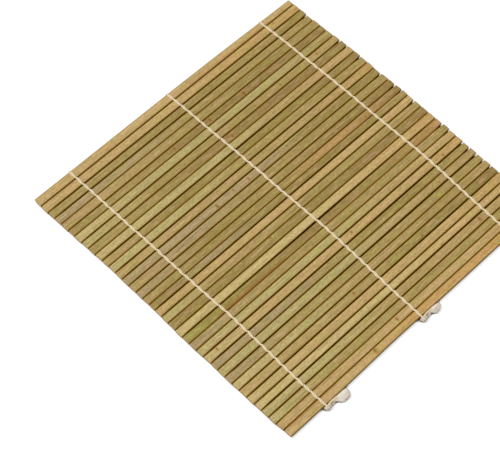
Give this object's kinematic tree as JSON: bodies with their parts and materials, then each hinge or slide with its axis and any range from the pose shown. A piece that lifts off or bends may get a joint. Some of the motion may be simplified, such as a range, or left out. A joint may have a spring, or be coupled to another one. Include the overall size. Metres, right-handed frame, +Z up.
{
  "type": "sushi rolling mat",
  "caption": "Flat square mat of narrow bamboo slats held side by side by lines of cotton twine, tied off in frayed knots; it rolls up either way.",
  "frame": {"origin": "on the resting plane, under the middle of the slats", "axes": "+X along the slats, +Y across the slats towards the edge that starts the roll and away from the knots, +Z up"},
  "size_m": [0.24, 0.2478, 0.0035],
  "materials": {
    "bamboo": "split bamboo with its green skin, lightly planed",
    "cotton": "plain cream cotton twine"
  },
  "bodies": {
    "slat_01": {"slat_01": "bamboo"},
    "slat_02": {"slat_02": "bamboo"},
    "slat_03": {"slat_03": "bamboo"},
    "slat_04": {"slat_04": "bamboo"},
    "slat_05": {"slat_05": "bamboo"},
    "slat_06": {"slat_06": "bamboo"},
    "slat_07": {"slat_07": "bamboo"},
    "slat_08": {"slat_08": "bamboo"},
    "slat_09": {"slat_09": "bamboo"},
    "slat_10": {"slat_10": "bamboo"},
    "slat_11": {"slat_11": "bamboo"},
    "slat_12": {"slat_12": "bamboo"},
    "slat_13": {"slat_13": "bamboo"},
    "slat_14": {"slat_14": "bamboo"},
    "slat_15": {"slat_15": "bamboo"},
    "slat_16": {"slat_16": "bamboo"},
    "slat_17": {"slat_17": "bamboo"},
    "slat_18": {"slat_18": "bamboo"},
    "slat_19": {"slat_19": "bamboo"},
    "slat_20": {"slat_20": "bamboo"},
    "slat_21": {"slat_21": "bamboo"},
    "slat_22": {"slat_22": "bamboo"},
    "slat_23": {"slat_23": "bamboo"},
    "slat_24": {"slat_24": "bamboo"},
    "slat_25": {"slat_25": "bamboo"},
    "slat_26": {"slat_26": "bamboo"},
    "slat_27": {"slat_27": "bamboo"},
    "slat_28": {"slat_28": "bamboo"},
    "slat_29": {"slat_29": "bamboo"},
    "slat_30": {"slat_30": "bamboo"},
    "slat_31": {"slat_31": "bamboo"},
    "slat_32": {"slat_32": "bamboo"},
    "slat_33": {"slat_33": "bamboo"},
    "slat_34": {"slat_34": "bamboo"},
    "slat_35": {"slat_35": "bamboo"},
    "slat_36": {"slat_36": "bamboo"},
    "slat_37": {"slat_37": "bamboo", "twine_left": "cotton", "twine_middle": "cotton", "twine_right": "cotton", "knot_left": "cotton", "knot_middle": "cotton", "knot_right": "cotton"}
  },
  "joints": [
    {"name": "gap_01", "type": "hinge", "parent": "slat_02", "child": "slat_01", "pos_m": [0, 0.11375, 0.00175], "axis": [1, 0, 0], "range_deg": [-27.5, 27.5], "deforming": ["twine_left", "twine_middle", "twine_right"]},
    {"name": "gap_02", "type": "hinge", "parent": "slat_03", "child": "slat_02", "pos_m": [0, 0.10725, 0.00175], "axis": [1, 0, 0], "range_deg": [-26.5, 26.5], "deforming": ["twine_left", "twine_middle", "twine_right"]},
    {"name": "gap_03", "type": "hinge", "parent": "slat_04", "child": "slat_03", "pos_m": [0, 0.10075, 0.00175], "axis": [1, 0, 0], "range_deg": [-26, 26], "deforming": ["twine_left", "twine_middle", "twine_right"]},
    {"name": "gap_04", "type": "hinge", "parent": "slat_05", "child": "slat_04", "pos_m": [0, 0.09425, 0.00175], "axis": [1, 0, 0], "range_deg": [-25.5, 25.5], "deforming": ["twine_left", "twine_middle", "twine_right"]},
    {"name": "gap_05", "type": "hinge", "parent": "slat_06", "child": "slat_05", "pos_m": [0, 0.08775, 0.00175], "axis": [1, 0, 0], "range_deg": [-25, 25], "deforming": ["twine_left", "twine_middle", "twine_right"]},
    {"name": "gap_06", "type": "hinge", "parent": "slat_07", "child": "slat_06", "pos_m": [0, 0.08125, 0.00175], "axis": [1, 0, 0], "range_deg": [-24.5, 24.5], "deforming": ["twine_left", "twine_middle", "twine_right"]},
    {"name": "gap_07", "type": "hinge", "parent": "slat_08", "child": "slat_07", "pos_m": [0, 0.07475, 0.00175], "axis": [1, 0, 0], "range_deg": [-24, 24], "deforming": ["twine_left", "twine_middle", "twine_right"]},
    {"name": "gap_08", "type": "hinge", "parent": "slat_09", "child": "slat_08", "pos_m": [0, 0.06825, 0.00175], "axis": [1, 0, 0], "range_deg": [-23.5, 23.5], "deforming": ["twine_left", "twine_middle", "twine_right"]},
    {"name": "gap_09", "type": "hinge", "parent": "slat_10", "child": "slat_09", "pos_m": [0, 0.06175, 0.00175], "axis": [1, 0, 0], "range_deg": [-23, 23], "deforming": ["twine_left", "twine_middle", "twine_right"]},
    {"name": "gap_10", "type": "hinge", "parent": "slat_11", "child": "slat_10", "pos_m": [0, 0.05525, 0.00175], "axis": [1, 0, 0], "range_deg": [-22.5, 22.5], "deforming": ["twine_left", "twine_middle", "twine_right"]},
    {"name": "gap_11", "type": "hinge", "parent": "slat_12", "child": "slat_11", "pos_m": [0, 0.04875, 0.00175], "axis": [1, 0, 0], "range_deg": [-22.5, 22.5], "deforming": ["twine_left", "twine_middle", "twine_right"]},
    {"name": "gap_12", "type": "hinge", "parent": "slat_13", "child": "slat_12", "pos_m": [0, 0.04225, 0.00175], "axis": [1, 0, 0], "range_deg": [-22, 22], "deforming": ["twine_left", "twine_middle", "twine_right"]},
    {"name": "gap_13", "type": "hinge", "parent": "slat_14", "child": "slat_13", "pos_m": [0, 0.03575, 0.00175], "axis": [1, 0, 0], "range_deg": [-21.5, 21.5], "deforming": ["twine_left", "twine_middle", "twine_right"]},
    {"name": "gap_14", "type": "hinge", "parent": "slat_15", "child": "slat_14", "pos_m": [0, 0.02925, 0.00175], "axis": [1, 0, 0], "range_deg": [-21.5, 21.5], "deforming": ["twine_left", "twine_middle", "twine_right"]},
    {"name": "gap_15", "type": "hinge", "parent": "slat_16", "child": "slat_15", "pos_m": [0, 0.02275, 0.00175], "axis": [1, 0, 0], "range_deg": [-21, 21], "deforming": ["twine_left", "twine_middle", "twine_right"]},
    {"name": "gap_16", "type": "hinge", "parent": "slat_17", "child": "slat_16", "pos_m": [0, 0.01625, 0.00175], "axis": [1, 0, 0], "range_deg": [-20.5, 20.5], "deforming": ["twine_left", "twine_middle", "twine_right"]},
    {"name": "gap_17", "type": "hinge", "parent": "slat_18", "child": "slat_17", "pos_m": [0, 0.00975, 0.00175], "axis": [1, 0, 0], "range_deg": [-20.5, 20.5], "deforming": ["twine_left", "twine_middle", "twine_right"]},
    {"name": "gap_18", "type": "hinge", "parent": "slat_19", "child": "slat_18", "pos_m": [0, 0.00325, 0.00175], "axis": [1, 0, 0], "range_deg": [-20, 20], "deforming": ["twine_left", "twine_middle", "twine_right"]},
    {"name": "gap_19", "type": "hinge", "parent": "slat_20", "child": "slat_19", "pos_m": [0, -0.00325, 0.00175], "axis": [1, 0, 0], "range_deg": [-20, 20], "deforming": ["twine_left", "twine_middle", "twine_right"]},
    {"name": "gap_20", "type": "hinge", "parent": "slat_21", "child": "slat_20", "pos_m": [0, -0.00975, 0.00175], "axis": [1, 0, 0], "range_deg": [-19.5, 19.5], "deforming": ["twine_left", "twine_middle", "twine_right"]},
    {"name": "gap_21", "type": "hinge", "parent": "slat_22", "child": "slat_21", "pos_m": [0, -0.01625, 0.00175], "axis": [1, 0, 0], "range_deg": [-19.5, 19.5], "deforming": ["twine_left", "twine_middle", "twine_right"]},
    {"name": "gap_22", "type": "hinge", "parent": "slat_23", "child": "slat_22", "pos_m": [0, -0.02275, 0.00175], "axis": [1, 0, 0], "range_deg": [-19, 19], "deforming": ["twine_left", "twine_middle", "twine_right"]},
    {"name": "gap_23", "type": "hinge", "parent": "slat_24", "child": "slat_23", "pos_m": [0, -0.02925, 0.00175], "axis": [1, 0, 0], "range_deg": [-19, 19], "deforming": ["twine_left", "twine_middle", "twine_right"]},
    {"name": "gap_24", "type": "hinge", "parent": "slat_25", "child": "slat_24", "pos_m": [0, -0.03575, 0.00175], "axis": [1, 0, 0], "range_deg": [-18.5, 18.5], "deforming": ["twine_left", "twine_middle", "twine_right"]},
    {"name": "gap_25", "type": "hinge", "parent": "slat_26", "child": "slat_25", "pos_m": [0, -0.04225, 0.00175], "axis": [1, 0, 0], "range_deg": [-18.5, 18.5], "deforming": ["twine_left", "twine_middle", "twine_right"]},
    {"name": "gap_26", "type": "hinge", "parent": "slat_27", "child": "slat_26", "pos_m": [0, -0.04875, 0.00175], "axis": [1, 0, 0], "range_deg": [-18, 18], "deforming": ["twine_left", "twine_middle", "twine_right"]},
    {"name": "gap_27", "type": "hinge", "parent": "slat_28", "child": "slat_27", "pos_m": [0, -0.05525, 0.00175], "axis": [1, 0, 0], "range_deg": [-18, 18], "deforming": ["twine_left", "twine_middle", "twine_right"]},
    {"name": "gap_28", "type": "hinge", "parent": "slat_29", "child": "slat_28", "pos_m": [0, -0.06175, 0.00175], "axis": [1, 0, 0], "range_deg": [-18, 18], "deforming": ["twine_left", "twine_middle", "twine_right"]},
    {"name": "gap_29", "type": "hinge", "parent": "slat_30", "child": "slat_29", "pos_m": [0, -0.06825, 0.00175], "axis": [1, 0, 0], "range_deg": [-17.5, 17.5], "deforming": ["twine_left", "twine_middle", "twine_right"]},
    {"name": "gap_30", "type": "hinge", "parent": "slat_31", "child": "slat_30", "pos_m": [0, -0.07475, 0.00175], "axis": [1, 0, 0], "range_deg": [-17.5, 17.5], "deforming": ["twine_left", "twine_middle", "twine_right"]},
    {"name": "gap_31", "type": "hinge", "parent": "slat_32", "child": "slat_31", "pos_m": [0, -0.08125, 0.00175], "axis": [1, 0, 0], "range_deg": [-17.5, 17.5], "deforming": ["twine_left", "twine_middle", "twine_right"]},
    {"name": "gap_32", "type": "hinge", "parent": "slat_33", "child": "slat_32", "pos_m": [0, -0.08775, 0.00175], "axis": [1, 0, 0], "range_deg": [-17, 17], "deforming": ["twine_left", "twine_middle", "twine_right"]},
    {"name": "gap_33", "type": "hinge", "parent": "slat_34", "child": "slat_33", "pos_m": [0, -0.09425, 0.00175], "axis": [1, 0, 0], "range_deg": [-17, 17], "deforming": ["twine_left", "twine_middle", "twine_right"]},
    {"name": "gap_34", "type": "hinge", "parent": "slat_35", "child": "slat_34", "pos_m": [0, -0.10075, 0.00175], "axis": [1, 0, 0], "range_deg": [-17, 17], "deforming": ["twine_left", "twine_middle", "twine_right"]},
    {"name": "gap_35", "type": "hinge", "parent": "slat_36", "child": "slat_35", "pos_m": [0, -0.10725, 0.00175], "axis": [1, 0, 0], "range_deg": [-16.5, 16.5], "deforming": ["twine_left", "twine_middle", "twine_right"]},
    {"name": "gap_36", "type": "hinge", "parent": "slat_37", "child": "slat_36", "pos_m": [0, -0.11375, 0.00175], "axis": [1, 0, 0], "range_deg": [-16.5, 16.5], "deforming": ["twine_left", "twine_middle", "twine_right"]}
  ]
}
